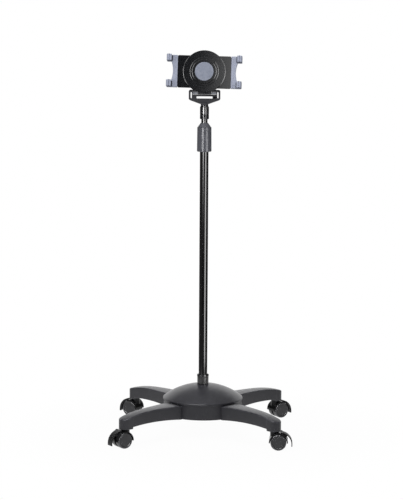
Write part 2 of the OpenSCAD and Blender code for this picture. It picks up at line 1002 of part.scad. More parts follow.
module jaw() {
    color(grey)
    difference() {
        union() {
            flat_depth(jaw_back, jaw_face)
            jaw_plate();
            block_depth(tongue_tip, jaw_root + eps, -tongue_low - tongue_h, -tongue_low,
                jaw_back, jaw_back + tongue_t);
            for (low = [-jaw_top, finger_low]) {
                block_depth(finger_x - finger_t, finger_x, low, low + finger_h, jaw_face - eps, finger_face);
                block_depth(lip_in, finger_x, low, low + finger_h, finger_face - lip_t, finger_face);
            }
        }
        block_depth(lip_line - lip_line_w, lip_line, -jaw_top - past, jaw_top + past,
            finger_face - lip_line_t, finger_face + past);
    }
}

module grips() {
    inset = 1;
    face = finger_x - finger_t;
    color(black)
    for (low = [-jaw_top, finger_low])
        block_depth(face - grip_t, face, low + inset, low + finger_h - inset, jaw_face, finger_face - lip_t);
}

module spring() {
    wall = 1;
    depth = jaw_back + tongue_t / 2;
    color(steel)
    translate([0, -depth, -tongue_low - tongue_h / 2])
    difference() {
        round_x(spring_d / 2, -channel_end, tongue_tip);
        round_x(spring_d / 2 - wall, -channel_end - past, tongue_tip + past);
    }
}

module hood_shape() {
    difference() {
        circle(r = hood_r);
        circle(r = hood_in);
        translate([-hood_r - past, -2 * hood_r])
        square([2 * hood_r + 2 * past, 2 * hood_r - 1]);
    }
}

module hood(turn, swivel) {
    color(black)
    at_caster(turn, swivel)
    difference() {
        union() {
            at_axle()
            translate([0, caster_w / 2, 0])
            rotate([90, 0, 0])
            linear_extrude(height = caster_w)
            hood_shape();
            difference() {
                round_z(neck_d / 2, wheel_r + 4, neck_top);
                at_axle()
                for (side = [0, 1])
                    mirror([0, side, 0])
                    round_y(hood_in, web_t / 2, caster_w);
            }
            at_axle()
            translate([0, web_t / 2, 0])
            rotate([90, 0, 0])
            linear_extrude(height = web_t)
            union() {
                circle(r = axle_d);
                intersection() {
                    circle(r = hood_in + past);
                    translate([-hood_r, 0])
                    square([hood_r + pedal_x + 2, hood_r]);
                }
            }
            at_axle()
            translate([pedal_x, 0, pedal_z])
            for (side = [0, 1])
                mirror([0, side, 0])
                round_y(lug_r, pedal_bay, pedal_bay + trunnion_l + 1);
        }
        at_axle()
        round_y(axle_d / 2 + running_clear, -caster_w, caster_w);
        round_z(stem_d / 2, stem_foot, neck_top + past);
        at_axle()
        translate([pedal_x, 0, pedal_z])
        round_y(trunnion_d / 2 + running_clear, -pedal_bay - trunnion_l - 0.3, pedal_bay + trunnion_l + 0.3);
        block([trail + pedal_x - pedal_barrel - pedal_clear, -pedal_bay, wheel_r + 5],
            [trail + hood_r + past, pedal_bay, neck_top + past]);
    }
}

module stem(turn, swivel) {
    color(steel)
    at_caster(turn, swivel)
    round_z(stem_d / 2, stem_foot, stem_top);
}

module wheels(turn, swivel) {
    color(satin)
    at_caster(turn, swivel)
    at_axle()
    for (side = [0, 1])
        mirror([0, side, 0])
        translate([0, wheel_gap / 2, 0])
        rotate([-90, 0, 0])
        difference() {
            union() {
                cylinder(r1 = wheel_r - wheel_bevel, r2 = wheel_r, h = wheel_bevel);
                round_z(wheel_r, wheel_bevel, wheel_w - wheel_bevel);
                cone_z_part(wheel_r, wheel_r - wheel_bevel, wheel_w - wheel_bevel, wheel_w);
            }
            cone_z_part(wheel_dish_r - wheel_dish, wheel_dish_r + eps, wheel_w - wheel_dish, wheel_w + eps);
            round_z(axle_d / 2, -past, wheel_w + past);
        }
}

module axle(turn, swivel) {
    color(steel)
    at_caster(turn, swivel)
    at_axle()
    round_y(axle_d / 2, -axle_back, axle_back);
}

// The way inwards from a curve's point, square to the line that joins its neighbours
function inwards(curve, i) =
    let (way = curve[min(i + 1, len(curve) - 1)] - curve[max(i - 1, 0)])
    [way[1], -way[0]] / norm(way);

// The pedal's side view, from the axle, in units of the hood's radius
module pedal_side() {
    curve = hood_r * [[0.544, 1.004], [0.8, 0.905], [1.02, 0.75], [1.22, 0.53], [1.36, 0.29], [1.44, 0.03],
        [1.47, -0.23], [1.46, -0.47]];
    under = [for (i = [len(curve) - 1 : -1 : 0]) curve[i] + pedal_t * inwards(curve, i)];
    polygon(concat([[pedal_x - 1, hood_r + 1]], curve, under, [[pedal_x, hood_r - 1.4]]));
}

module pedal(turn, swivel) {
    shoe_r = wheel_r + shoe_gap;
    color(black)
    at_caster(turn, swivel)
    at_axle()
    union() {
        translate([0, pedal_half, 0])
        rotate([90, 0, 0])
        linear_extrude(height = pedal_w)
        union() {
            pedal_side();
            difference() {
                polygon(hood_r * [[0.52, 0.94], [0.75, 0.86], [0.94, 0.72], [0.82, 0.45], [0.52, 0.7]]);
                circle(r = shoe_r);
            }
        }
        translate([pedal_x, 0, pedal_z]) {
            round_y(pedal_barrel, -pedal_half, pedal_half);
            round_y(trunnion_d / 2, -pedal_bay - trunnion_l, pedal_bay + trunnion_l);
        }
    }
}

hub_drum();
dome_cover();
leg(turn_fr);  // leg_fr
leg(turn_fl);  // leg_fl
leg(turn_br);  // leg_br
leg(turn_bl);  // leg_bl
leg_bolts();
stem_sockets();
pole_bolt();
pole_plug();
pole_ferrule();
outer_tube();
clutch_sleeve();
clutch_collet();
clutch_collar();
inner_tube();
glide_plug();
lock_ring();
coupler();
yoke();
pan_stud();
hinge_pin();
hinge_sleeves();
tension_screw();
tilt_bracket();
friction_washer();
rotor_bolt();
rotor_nut();
back_cover();
holder_body();
cover_screws();
holder_disc();
centre_pad();
at_disc() rotate([0, 180, 0]) jaw();  // jaw_left
at_disc() jaw();  // jaw_right
at_disc() rotate([0, 180, 0]) grips();  // grips_left
at_disc() grips();  // grips_right
at_disc() rotate([0, 180, 0]) spring();  // spring_left
at_disc() spring();  // spring_right
hood(turn_fr, swivel_fr);  // hood_fr
stem(turn_fr, swivel_fr);  // stem_fr
wheels(turn_fr, swivel_fr);  // wheels_fr
axle(turn_fr, swivel_fr);  // axle_fr
pedal(turn_fr, swivel_fr);  // pedal_fr
hood(turn_fl, swivel_fl);  // hood_fl
stem(turn_fl, swivel_fl);  // stem_fl
wheels(turn_fl, swivel_fl);  // wheels_fl
axle(turn_fl, swivel_fl);  // axle_fl
pedal(turn_fl, swivel_fl);  // pedal_fl
hood(turn_br, swivel_br);  // hood_br
stem(turn_br, swivel_br);  // stem_br
wheels(turn_br, swivel_br);  // wheels_br
axle(turn_br, swivel_br);  // axle_br
pedal(turn_br, swivel_br);  // pedal_br
hood(turn_bl, swivel_bl);  // hood_bl
stem(turn_bl, swivel_bl);  // stem_bl
wheels(turn_bl, swivel_bl);  // wheels_bl
axle(turn_bl, swivel_bl);  // axle_bl
pedal(turn_bl, swivel_bl);  // pedal_bl
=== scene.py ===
import json
import math

import bmesh
import bpy
import numpy as np
from mathutils import Euler, Matrix, Vector

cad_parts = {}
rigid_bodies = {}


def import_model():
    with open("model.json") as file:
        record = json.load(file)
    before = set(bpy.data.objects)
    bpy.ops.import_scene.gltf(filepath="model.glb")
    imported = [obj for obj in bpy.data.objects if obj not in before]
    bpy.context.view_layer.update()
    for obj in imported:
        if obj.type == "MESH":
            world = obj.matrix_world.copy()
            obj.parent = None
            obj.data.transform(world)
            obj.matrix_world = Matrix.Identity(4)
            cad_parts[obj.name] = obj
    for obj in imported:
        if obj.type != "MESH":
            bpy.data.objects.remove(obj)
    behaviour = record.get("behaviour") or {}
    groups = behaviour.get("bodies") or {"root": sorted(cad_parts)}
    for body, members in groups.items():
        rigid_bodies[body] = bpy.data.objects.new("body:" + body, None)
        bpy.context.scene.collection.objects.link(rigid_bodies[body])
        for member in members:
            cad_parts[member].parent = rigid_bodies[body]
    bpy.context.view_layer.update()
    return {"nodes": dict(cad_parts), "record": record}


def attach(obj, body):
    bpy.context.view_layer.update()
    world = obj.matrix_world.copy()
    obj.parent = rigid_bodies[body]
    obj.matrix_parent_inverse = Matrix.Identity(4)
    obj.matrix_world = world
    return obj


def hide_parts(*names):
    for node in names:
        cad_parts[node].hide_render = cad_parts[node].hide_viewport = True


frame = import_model()
scene = bpy.context.scene
bodyOf = {node: body for body, nodes in frame["record"]["behaviour"]["bodies"].items()
          for node in nodes}
corners = ("fr", "fl", "br", "bl")      # front or back, right or left
mm = 0.001
print("frame loaded:", len(frame["nodes"]), "solids")


# Shapes. Everything below is in millimetres until it becomes a mesh.

# Quads over a grid of points: each joins a point, the one below it, and the two beside them.
def gridFaces(rows, cols, wrapRows, wrapCols):
    i, j = np.meshgrid(np.arange(rows - (not wrapRows)), np.arange(cols - (not wrapCols)),
                       indexing="ij")
    below, beside = (i + 1) % rows, (j + 1) % cols
    quads = [i * cols + j, below * cols + j, below * cols + beside, i * cols + beside]
    return np.stack(quads, -1).reshape(-1, 4)


# A grid of points as a part: its points in one list, and its quads.
def sheetOf(grid, wrapRows=False, wrapCols=False):
    rows, cols = grid.shape[:2]
    return grid.reshape(-1, 3), gridFaces(rows, cols, wrapRows, wrapCols)


# A closed profile of (radius, height) turned about Z: x = radius cos(angle), y = radius sin(angle).
def turned(profile, sides):
    angle = np.linspace(0, 2 * np.pi, sides, endpoint=False)[:, None]
    radius, height = profile[:, 0], profile[:, 1]
    ring = [radius * np.cos(angle), radius * np.sin(angle), height + 0 * angle]
    return sheetOf(np.stack(ring, -1), True, True)


# Every vector over its own length.
def unit(v):
    return v / np.maximum(np.linalg.norm(v, axis=-1, keepdims=True), 1e-9)


# A rectangle's corners, from the lower left one round.
def rectangle(left, right, low, high):
    return [(left, low), (right, low), (right, high), (left, high)]


# Each corner of a closed path becomes an arc. The arc's centre lies on the corner's bisector, at
# radius / sin(half the angle), and its points are the first and last spokes mixed by the sines of
# what is left and what is done.
def rounded(path, radii, steps=5):
    path = np.asarray(path, float)
    radius = np.broadcast_to(np.asarray(radii, float), len(path))[:, None]
    back, ahead = unit(np.roll(path, 1, 0) - path), unit(np.roll(path, -1, 0) - path)
    half = np.arccos(np.clip((back * ahead).sum(-1, keepdims=True), -1, 1)) / 2
    centre = path + unit(back + ahead) * radius / np.sin(half)
    first = path + back * radius / np.tan(half) - centre
    last = path + ahead * radius / np.tan(half) - centre
    sweep = np.maximum(np.pi - 2 * half, 1e-6)[:, None]
    t = np.linspace(0, 1, steps + 1)[None, :, None]
    mix = np.sin((1 - t) * sweep) * first[:, None] + np.sin(t * sweep) * last[:, None]
    points = (centre[:, None] + mix / np.sin(sweep)).reshape(-1, 2)
    return points[np.linalg.norm(points - np.roll(points, 1, 0), axis=1) > 1e-3]     # no doubles


# A closed outline (u, v) carried along w: at each step its points move in along their own normals,
# square to the line between their neighbours, and on to that step's height.
def carried(outline, steps):
    along = unit(np.roll(outline, -1, 0) - np.roll(outline, 1, 0))
    inward = np.stack([-along[:, 1], along[:, 0]], -1)
    inset, height = np.array(steps).T[:, :, None]
    flat = outline[None] + inward[None] * inset[..., None]
    lift = np.broadcast_to(height[..., None], (*flat.shape[:2], 1))
    return sheetOf(np.concatenate([flat, lift], -1), False, True)


# Steps with a rounded end at each side: inset = r (1 - sin a), rise = r (1 - cos a).
def softSteps(low, high, lowEdge, highEdge, count=4):
    a = np.linspace(0, np.pi / 2, count + 1)
    start = np.stack([lowEdge * (1 - np.sin(a)), low + lowEdge * (1 - np.cos(a))], -1)
    end = np.stack([highEdge * (1 - np.sin(a)), high - highEdge * (1 - np.cos(a))], -1)
    return np.concatenate([start, end[::-1]])


# A turn about one axis: the two other coordinates mixed by the angle's cosine and sine.
def spin(axis, degrees):
    c, s = math.cos(math.radians(degrees)), math.sin(math.radians(degrees))
    rows = {"x": [[1, 0, 0], [0, c, -s], [0, s, c]], "y": [[c, 0, s], [0, 1, 0], [-s, 0, c]],
            "z": [[c, -s, 0], [s, c, 0], [0, 0, 1]]}
    return np.array(rows[axis])


# A part turned, then shifted.
def moved(part, turn=np.eye(3), by=(0, 0, 0)):
    return part[0] @ turn.T + np.asarray(by, float), part[1]


# Places in the stand's frame that several pieces share; angles are in degrees.
headSpots = {"hinge": 877.3, "tiltBack": 10, "discRise": 50.7, "roll": 1.2}
casterSpots = {"reach": 264.5, "trail": 10, "axle": 20,
               "turn": {"fr": -45, "fl": -135, "br": 45, "bl": 135},
               "swivel": {"fr": 0, "fl": -146, "br": 32, "bl": 150}}


# From the hinge's frame to the stand's: tilted back about X, then lifted to the hinge.
def atHinge(part):
    return moved(part, spin("x", -headSpots["tiltBack"]), (0, 0, headSpots["hinge"]))


# From the disc's frame to the stand's: rolled about Y, lifted to the disc's centre, then tilted
# with the hinge.
def atDisc(part):
    return atHinge(moved(part, spin("y", headSpots["roll"]), (0, 0, headSpots["discRise"])))


# From a caster's frame, its stem at the origin and its trail along +X, to the stand's.
def atCaster(part, corner):
    turn = math.radians(casterSpots["turn"][corner])
    spot = (casterSpots["reach"] * math.cos(turn), casterSpots["reach"] * math.sin(turn), 0)
    return moved(part, spin("z", casterSpots["swivel"][corner]), spot)


# Finishes. Colours are sRGB hex values; pattern sizes are in millimetres on the object.

# sRGB to linear: a straight line up to 0.04045, a power of 2.4 above it.
def linear(hexColour):
    channel = np.array([int(hexColour[k:k + 2], 16) for k in (1, 3, 5)]) / 255
    value = np.where(channel <= 0.04045, channel / 12.92, ((channel + 0.055) / 1.055) ** 2.4)
    return (*value.tolist(), 1.0)


# One node: settings go to its own properties or its sockets, links join its sockets to other
# nodes' outputs.
def addNode(tree, kind, settings=None, links=None):
    node = tree.nodes.new(kind)
    for key, value in (settings or {}).items():
        if isinstance(key, str) and hasattr(node, key):
            setattr(node, key, value)
        else:
            node.inputs[key].default_value = value
    for key, socket in (links or {}).items():
        tree.links.new(socket, node.inputs[key])
    return node


# A material with an empty node tree.
def emptyMaterial(name):
    material = bpy.data.materials.new(name)
    material.use_nodes = True
    material.node_tree.nodes.clear()
    return material


# Noise scale, in turns per metre, for a pattern of that size.
def perMetre(size):
    return 1 / (size * mm)


# What all finishes share: each noise's detail and roughness, the range of the noise that counts
# for each use, and the wear and painted edge highlight at the two ends of the edge range.
noises = {"mottle": (4, 0.55), "scuff": (6, 0.7), "grain": (2, 0.5)}
noiseRanges = {"even": (0.3, 0.7), "rub": (0.62, 0.8), "chafeAndSheen": (0.4, 0.62)}
edgeWearAndSheen = (0.1, 0.55)


# A finish: broad mottling moves the colour between two values, a sparse scuff noise, cut off by its
# threshold, lightens the few places that hands and floors rub, and more so along the edges, where
# the lighter colour is partly wear and partly a painted highlight, and a fine grain gives the bump.
def newFinish(name, f):
    material = emptyMaterial(name)
    tree = material.node_tree
    spot = addNode(tree, "ShaderNodeTexCoord").outputs["Object"]
    lie = addNode(tree, "ShaderNodeMapping", {"Scale": f.get("stretch", (1, 1, 1))},
                  {"Vector": spot}).outputs[0]
    noise = {}
    for kind, (detail, roughness) in noises.items():
        look = {"Scale": perMetre(f[kind]), "Detail": detail, "Roughness": roughness}
        noise[kind] = addNode(tree, "ShaderNodeTexNoise", look, {"Vector": lie}).outputs["Fac"]
    spans = {"tone": ("mottle", *noiseRanges["even"], 0, 1),
             "rub": ("scuff", *noiseRanges["rub"], 0, f["rub"]),
             "chafeAndSheen": ("scuff", *noiseRanges["chafeAndSheen"], *edgeWearAndSheen),
             "rough": ("scuff", *noiseRanges["even"], *f["rough"])}
    span = {}
    for kind, (source, start, end, low, high) in spans.items():
        limits = {"From Min": start, "From Max": end, "To Min": low, "To Max": high}
        span[kind] = addNode(tree, "ShaderNodeMapRange", limits,
                             {"Value": noise[source]}).outputs[0]
    # Along marked edges the colour leans further to the lighter one: wear, and a painted highlight.
    edge = addNode(tree, "ShaderNodeAttribute", {"attribute_name": "edge"}).outputs["Fac"]
    atEdge = addNode(tree, "ShaderNodeMath", {"operation": "MULTIPLY"},
                     {0: edge, 1: span["chafeAndSheen"]}).outputs[0]
    wearAndSheen = addNode(tree, "ShaderNodeMath", {"operation": "MAXIMUM"},
                   {0: span["rub"], 1: atEdge}).outputs[0]
    tint = addNode(tree, "ShaderNodeMix",
                   {"data_type": "RGBA", 6: linear(f["colour"]), 7: linear(f["shade"])},
                   {0: span["tone"]}).outputs[2]
    scuffedAndLit = addNode(tree, "ShaderNodeMix", {"data_type": "RGBA", 7: linear(f["scuffAndSheenTo"])},
                   {0: wearAndSheen, 6: tint}).outputs[2]
    strength, depth = f["relief"]
    bump = addNode(tree, "ShaderNodeBump", {"Strength": strength, "Distance": depth * mm},
                   {"Height": noise["grain"]}).outputs[0]
    shader = addNode(tree, "ShaderNodeBsdfPrincipled", f["shader"],
                     {"Base Color": scuffedAndLit, "Roughness": span["rough"], "Normal": bump})
    addNode(tree, "ShaderNodeOutputMaterial", links={"Surface": shader.outputs["BSDF"]})
    return material


# Each finish: two colours, the sizes of its mottling, scuffs and grain, how far a scuff goes to the
# worn colour, which along edges is also a painted highlight, the range of its roughness, and the
# bump's strength and depth.
finishes = {
    # ABS moulded in a spark-eroded tool: satin and even. The real grain is about 0.3 mm, drawn
    # larger to show.
    # Light edge colour: partly wear, partly a painted highlight on leg edges and the dome's rim.
    "mouldedAbs": {"slot": "moulded_dark", "colour": "#2c2c31", "shade": "#323237", "mottle": 60,
                   "scuff": 18, "rub": 0.1, "scuffAndSheenTo": "#66666c", "rough": (0.34, 0.4), "grain": 1.6,
                   "relief": (0.2, 0.06), "shader": {"IOR": 1.53, "Specular IOR Level": 0.4}},
    # Steel tube with stoved gloss enamel: near black, a faint orange peel of about 9 mm, and a
    # sharp reflection that the lacquer over it strengthens, so the IOR is above plain enamel's 1.5.
    "pipeEnamel": {"slot": "black_gloss", "colour": "#0e0d0f", "shade": "#131214", "mottle": 90,
                   "scuff": 14, "rub": 0.1, "scuffAndSheenTo": "#2e2d30", "rough": (0.1, 0.12), "grain": 9,
                   "relief": (0.1, 0.05), "stretch": (1, 1, 0.35), "shader": {"IOR": 1.7}},
    # The same enamel on the coupler and the ferrule, flatted to a softer gloss under more lacquer.
    "couplerEnamel": {"slot": "black_gloss", "colour": "#0e0d0f", "shade": "#131214", "mottle": 40,
                      "scuff": 14, "rub": 0.1, "scuffAndSheenTo": "#2e2d30", "rough": (0.2, 0.23),
                      "grain": 6, "relief": (0.1, 0.04), "shader": {"IOR": 1.9}},
    # Glass-filled nylon, moulded glossy: deep black with slightly rough flats.
    "filledNylon": {"slot": "black_plastic", "colour": "#151619", "shade": "#1a1b1e", "mottle": 35,
                    "scuff": 9, "rub": 0.06, "scuffAndSheenTo": "#333437", "rough": (0.19, 0.22),
                    "grain": 1.2, "relief": (0.15, 0.04), "shader": {"IOR": 1.53}},
    # Powder-coated steel of the yoke and bracket: matt dark grey, a little lighter where the coat
    # lies thick.
    "powderCoat": {"slot": "black_plastic", "colour": "#57575b", "shade": "#5e5e62", "mottle": 25,
                   "scuff": 8, "rub": 0.2, "scuffAndSheenTo": "#636367", "rough": (0.5, 0.6), "grain": 1.2,
                   "relief": (0.2, 0.05), "shader": {"IOR": 1.5, "Specular IOR Level": 0.06}},
    # The casters' nylon: glossy from a polished tool, with scuffs from the floor.
    "casterNylon": {"slot": "caster_black", "colour": "#08080a", "shade": "#0d0d0f", "mottle": 22,
                    "scuff": 6, "rub": 0.2, "scuffAndSheenTo": "#38383b", "rough": (0.1, 0.14), "grain": 1.5,
                    "relief": (0.15, 0.05), "shader": {"IOR": 1.53, "Specular IOR Level": 0.15}},
    # The pedals' nylon: the same black from a stippled tool, so that a shoe doesn't slip on it.
    "pedalNylon": {"slot": "caster_black", "colour": "#0b0b0d", "shade": "#121214", "mottle": 14,
                   "scuff": 5, "rub": 0.3, "scuffAndSheenTo": "#3c3c3f", "rough": (0.5, 0.6), "grain": 1.0,
                   "relief": (0.4, 0.08), "shader": {"IOR": 1.53, "Specular IOR Level": 0.35}},
    # Wheel nylon: dark grey, slightly glossy on the face, with dust and fine scratches.
    # Light edge colour: partly wear, partly a painted highlight, the light arcs along the rims.
    "wheelNylon": {"slot": "wheel_grey", "colour": "#222225", "shade": "#2a2a2d", "mottle": 14,
                   "scuff": 5, "rub": 0.3, "scuffAndSheenTo": "#7c7c80", "rough": (0.28, 0.4), "grain": 1.2,
                   "relief": (0.3, 0.08), "shader": {"IOR": 1.53}},
    # The clutch's soft-touch ABS: even satin grey with soft, upright highlights.
    "softTouchAbs": {"slot": "clutch_grey", "colour": "#616269", "shade": "#67686f", "mottle": 40,
                     "scuff": 12, "rub": 0.2, "scuffAndSheenTo": "#6c6d72", "rough": (0.23, 0.26),
                     "grain": 1.2, "relief": (0.12, 0.04),
                     "shader": {"IOR": 1.5, "Specular IOR Level": 0.43}},
    # Blue-grey ABS of the jaws: light satin, shows handling as slightly shiny patches.
    "jawAbs": {"slot": "jaw_grey", "colour": "#acb2c6", "shade": "#b5bbce", "mottle": 30,
               "scuff": 8, "rub": 0.2, "scuffAndSheenTo": "#bfc3d2", "rough": (0.32, 0.46), "grain": 1.2,
               "relief": (0.25, 0.06), "shader": {"IOR": 1.53}},
    # Hinge sleeves: smooth, the jaws' grey painted lighter, as painted light in the disc's shade.
    "sleeveNylon": {"slot": "jaw_grey", "colour": "#c3c7d6", "shade": "#ccd0de", "mottle": 12,
                    "scuff": 5, "rub": 0.2, "scuffAndSheenTo": "#dadde6", "rough": (0.35, 0.45),
                    "grain": 1.2, "relief": (0.2, 0.04), "shader": {"IOR": 1.53}},
    # Soft elastomer of the centre pad: matt, slightly dusty, with a fine pebble.
    "padElastomer": {"slot": "pad_grey", "colour": "#8d94a5", "shade": "#959cac", "mottle": 20,
                     "scuff": 6, "rub": 0.2, "scuffAndSheenTo": "#aaaebd", "rough": (0.6, 0.75),
                     "grain": 1.4, "relief": (0.4, 0.08),
                     "shader": {"IOR": 1.45, "Sheen Weight": 0.15, "Sheen Roughness": 0.5}},
    # Rubber of the grips: matt charcoal; its dark soles past the lips are a painted shadow line.
    "gripRubber": {"slot": "grip_rubber", "colour": "#34363f", "shade": "#3c3e47", "mottle": 12,
                   "scuff": 5, "rub": 0.3, "scuffAndSheenTo": "#4c4c50", "rough": (0.7, 0.85), "grain": 1,
                   "relief": (0.5, 0.08), "shader": {"IOR": 1.45}},
    # Natural nylon of the bushes and the collet: milky, slightly waxy.
    "naturalNylon": {"slot": "nylon", "colour": "#d8d6cc", "shade": "#e2e0d8", "mottle": 15,
                     "scuff": 6, "rub": 0.2, "scuffAndSheenTo": "#c4c1b4", "rough": (0.4, 0.55),
                     "grain": 1.2, "relief": (0.2, 0.05),
                     "shader": {"IOR": 1.53, "Subsurface Weight": 0.1, "Subsurface Scale": 0.002}},
    # Zinc-plated steel: bright, cool, with the faint cloudiness of the passivation and turning
    # marks round the axis.
    "zincSteel": {"slot": "zinc_steel", "colour": "#b4b7bb", "shade": "#c3c6c8", "mottle": 8,
                  "scuff": 4, "rub": 0.3, "scuffAndSheenTo": "#9a9ca0", "rough": (0.24, 0.4), "grain": 0.8,
                  "relief": (0.2, 0.03), "stretch": (1, 1, 4), "shader": {"Metallic": 1.0}},
}
materials = {name: newFinish(name, finish) for name, finish in finishes.items()}
print("finishes:", len(materials))


# Pieces. A piece takes the place of its CAD node, rides on its body and has its slot's finish.

# How meshes are worked: lengths in millimetres, angles in degrees.
meshWork = {"merge": 0.002, "flat": 0.5, "sharp": 40, "smooth": 35, "narrow": 1.0, "bend": 9}


# Edges for the wear and the painted edge highlight: a face counts where it is narrow, area over its
# longest side, and bends outwards to a neighbour.
def markEdges(shape):
    narrow, least = meshWork["narrow"] * mm, math.radians(meshWork["bend"])
    mark = shape.faces.layers.float.new("edge")
    for face in shape.faces:
        width = face.calc_area() / max(edge.calc_length() for edge in face.edges)
        bend = max(edge.calc_face_angle_signed(0) for edge in face.edges)
        face[mark] = float(width < narrow and bend > least)


# The piece's mesh from its bmesh, with smooth shading between faces that meet at a small angle.
def dress(name, shape, finish, node):
    markEdges(shape)
    mesh = bpy.data.meshes.new(name)
    shape.to_mesh(mesh)
    shape.free()
    mesh.materials.append(materials[finish])
    mesh.shade_smooth()
    mesh.set_sharp_from_angle(angle=math.radians(meshWork["smooth"]))
    piece = bpy.data.objects.new(name, mesh)
    scene.collection.objects.link(piece)
    piece.modifiers.new("facing", "WEIGHTED_NORMAL").keep_sharp = True
    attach(piece, bodyOf[node])
    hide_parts(node)


# Parts joined in one mesh: doubles merged, open ends filled, faces turned outwards.
def makePiece(name, parts, finish, node):
    starts = np.cumsum([0] + [len(points) for points, quads in parts])
    points = np.concatenate([points for points, quads in parts]) * mm
    faces = np.concatenate([quads + start for (points, quads), start in zip(parts, starts)])
    mesh = bpy.data.meshes.new(name + "_raw")
    mesh.from_pydata(points.tolist(), [], faces.tolist())
    shape = bmesh.new()
    shape.from_mesh(mesh)
    bpy.data.meshes.remove(mesh)
    bmesh.ops.remove_doubles(shape, verts=shape.verts, dist=meshWork["merge"] * mm)
    openEdges = [edge for edge in shape.edges if edge.is_boundary]
    bmesh.ops.holes_fill(shape, edges=openEdges, sides=0)
    bmesh.ops.recalc_face_normals(shape, faces=shape.faces)
    dress(name, shape, finish, node)


# A piece that is one profile turned about Z.
def turnedPiece(name, profile, sides, finish, node):
    makePiece(name, [turned(profile, sides)], finish, node)


# A copy of a CAD solid with its edges broken: doubles merged, flat triangles joined, then a round
# bevel on its sharp edges.
def softened(name, node, finish, edge, segments=3):
    shape = bmesh.new()
    shape.from_mesh(frame["nodes"][node].data)
    bmesh.ops.remove_doubles(shape, verts=shape.verts, dist=meshWork["merge"] * mm)
    bmesh.ops.dissolve_limit(shape, angle_limit=math.radians(meshWork["flat"]),
                             verts=shape.verts, edges=shape.edges)
    least = math.radians(meshWork["sharp"])
    sharp = [side for side in shape.edges if side.calc_face_angle(0) > least]
    bmesh.ops.bevel(shape, geom=sharp, offset=edge * mm, offset_type="OFFSET", segments=segments,
                    profile=0.5, affect="EDGES", clamp_overlap=True, miter_outer="ARC")
    dress(name, shape, finish, node)


# Legs: a plan outline with a round nose, its wall carried round it, a soft top edge and a slightly
# crowned top.
leg = {"reach": casterSpots["reach"], "hub": 101, "gap": 0.6, "half": 16.3, "flare": 11,
       "flarePower": 2.2, "top": 87, "bottom": 50, "stemTop": 76, "tipTop": 71.5, "tipRun": 17.3,
       "arch": 4.5, "bossLow": 46.5, "bossRun": 12, "bossStep": 0.3, "edge": 3.0, "lowEdge": 1.4,
       "crown": 1.0, "dip": 2.2, "dipRun": 9, "bendRun": 28}
legTongue = {"root": 24, "low": 55, "under": 0.6, "past": 1.4, "round": 2, "edge": 0.6}
legGrid = {"side": 26, "boss": 5, "nose": 25, "lowEdge": 5, "edge": 8, "across": 9}      # points


# Share of the way from the drum to the stem.
def legShare(x):
    return np.clip((x - leg["hub"]) / (leg["reach"] - leg["hub"]), 0, 1)


# The top falls with the fourth power of that share, then straight down to the tip. At the drum it
# dips, with the square of what is left of the dip's run, to leave a shadow under the dome's rim.
def legTop(x):
    past = np.clip((x - leg["reach"]) / leg["tipRun"], 0, 1)
    dip = np.clip(1 - (x - leg["hub"]) / leg["dipRun"], 0, 1) ** 2
    fall = (leg["top"] - leg["stemTop"]) * legShare(x) ** 4
    fall = fall + (leg["stemTop"] - leg["tipTop"]) * past
    return leg["top"] - fall - leg["dip"] * dip


# The underside is an arch, 4 t (1 - t), as far as the boss, which is flat.
def legUnder(x):
    t = legShare(x)
    arch = leg["bottom"] + 4 * leg["arch"] * t * (1 - t)
    return np.where(x > leg["reach"] - leg["bossRun"], leg["bossLow"], arch)


# Half the width: the end's half width and a flare that fades with a power of the way left.
def legHalf(x):
    return leg["half"] + leg["flare"] * (1 - legShare(x)) ** leg["flarePower"]


# The leg's skin: the plan's points moved in and up along the rounded edges, then a cap below and
# one above, with a crown of 4 v (1 - v). The drum's end is bent to the drum's round wall, and the
# bend fades with the square of what is left of its run.
def legParts():
    drum = leg["hub"] + leg["gap"]
    wide = legHalf(np.array(leg["hub"]))
    start = math.sqrt(drum ** 2 - wide ** 2)
    boss = leg["reach"] - leg["bossRun"]
    x = np.concatenate([np.linspace(start, boss - leg["bossStep"], legGrid["side"]),
                        np.linspace(boss + leg["bossStep"], leg["reach"], legGrid["boss"])])
    side = np.stack([x, legHalf(x)], -1)
    angle = np.radians(np.linspace(90, -90, legGrid["nose"])[1:-1])
    nose = np.stack([leg["reach"] + leg["half"] * np.cos(angle), leg["half"] * np.sin(angle)], -1)
    plan = np.concatenate([side, nose, side[::-1] * [1, -1]])
    along = unit(np.gradient(plan, axis=0))
    inward = np.stack([along[:, 1], -along[:, 0]], -1)
    low, high = (np.linspace(0, np.pi / 2, legGrid[end]) for end in ("lowEdge", "edge"))
    inset = np.concatenate([leg["lowEdge"] * (1 - np.sin(low)), leg["edge"] * (1 - np.cos(high))])
    wall = plan[:, None] + inward[:, None] * inset[None, :, None]
    under = legUnder(plan[:, :1]) + leg["lowEdge"] * (1 - np.cos(low))
    over = legTop(wall[:, legGrid["lowEdge"]:, 0]) - leg["edge"] * (1 - np.sin(high))
    skin = np.concatenate([wall, np.concatenate([under, over], 1)[..., None]], -1)
    middle = len(plan) // 2 + 1
    v = np.linspace(0, 1, legGrid["across"])[None, :, None]
    grids = [skin]
    for ring, crown in ((0, 0), (-1, leg["crown"])):
        left, right = skin[:middle, ring], skin[::-1][:middle, ring]
        cap = left[:, None] * (1 - v) + right[:, None] * v
        cap[..., 2] += crown * 4 * v[..., 0] * (1 - v[..., 0]) * left[:, None, 1] / leg["half"]
        grids.append(cap)
    bent = []
    for points, quads in map(sheetOf, grids):
        fade = np.clip(1 - (points[:, 0] - start) / leg["bendRun"], 0, 1) ** 2
        bow = np.sqrt(drum ** 2 - np.minimum(np.abs(points[:, 1]), wide) ** 2) - start
        bent.append((points + np.stack([bow * fade, 0 * fade, 0 * fade], -1), quads))
    return bent


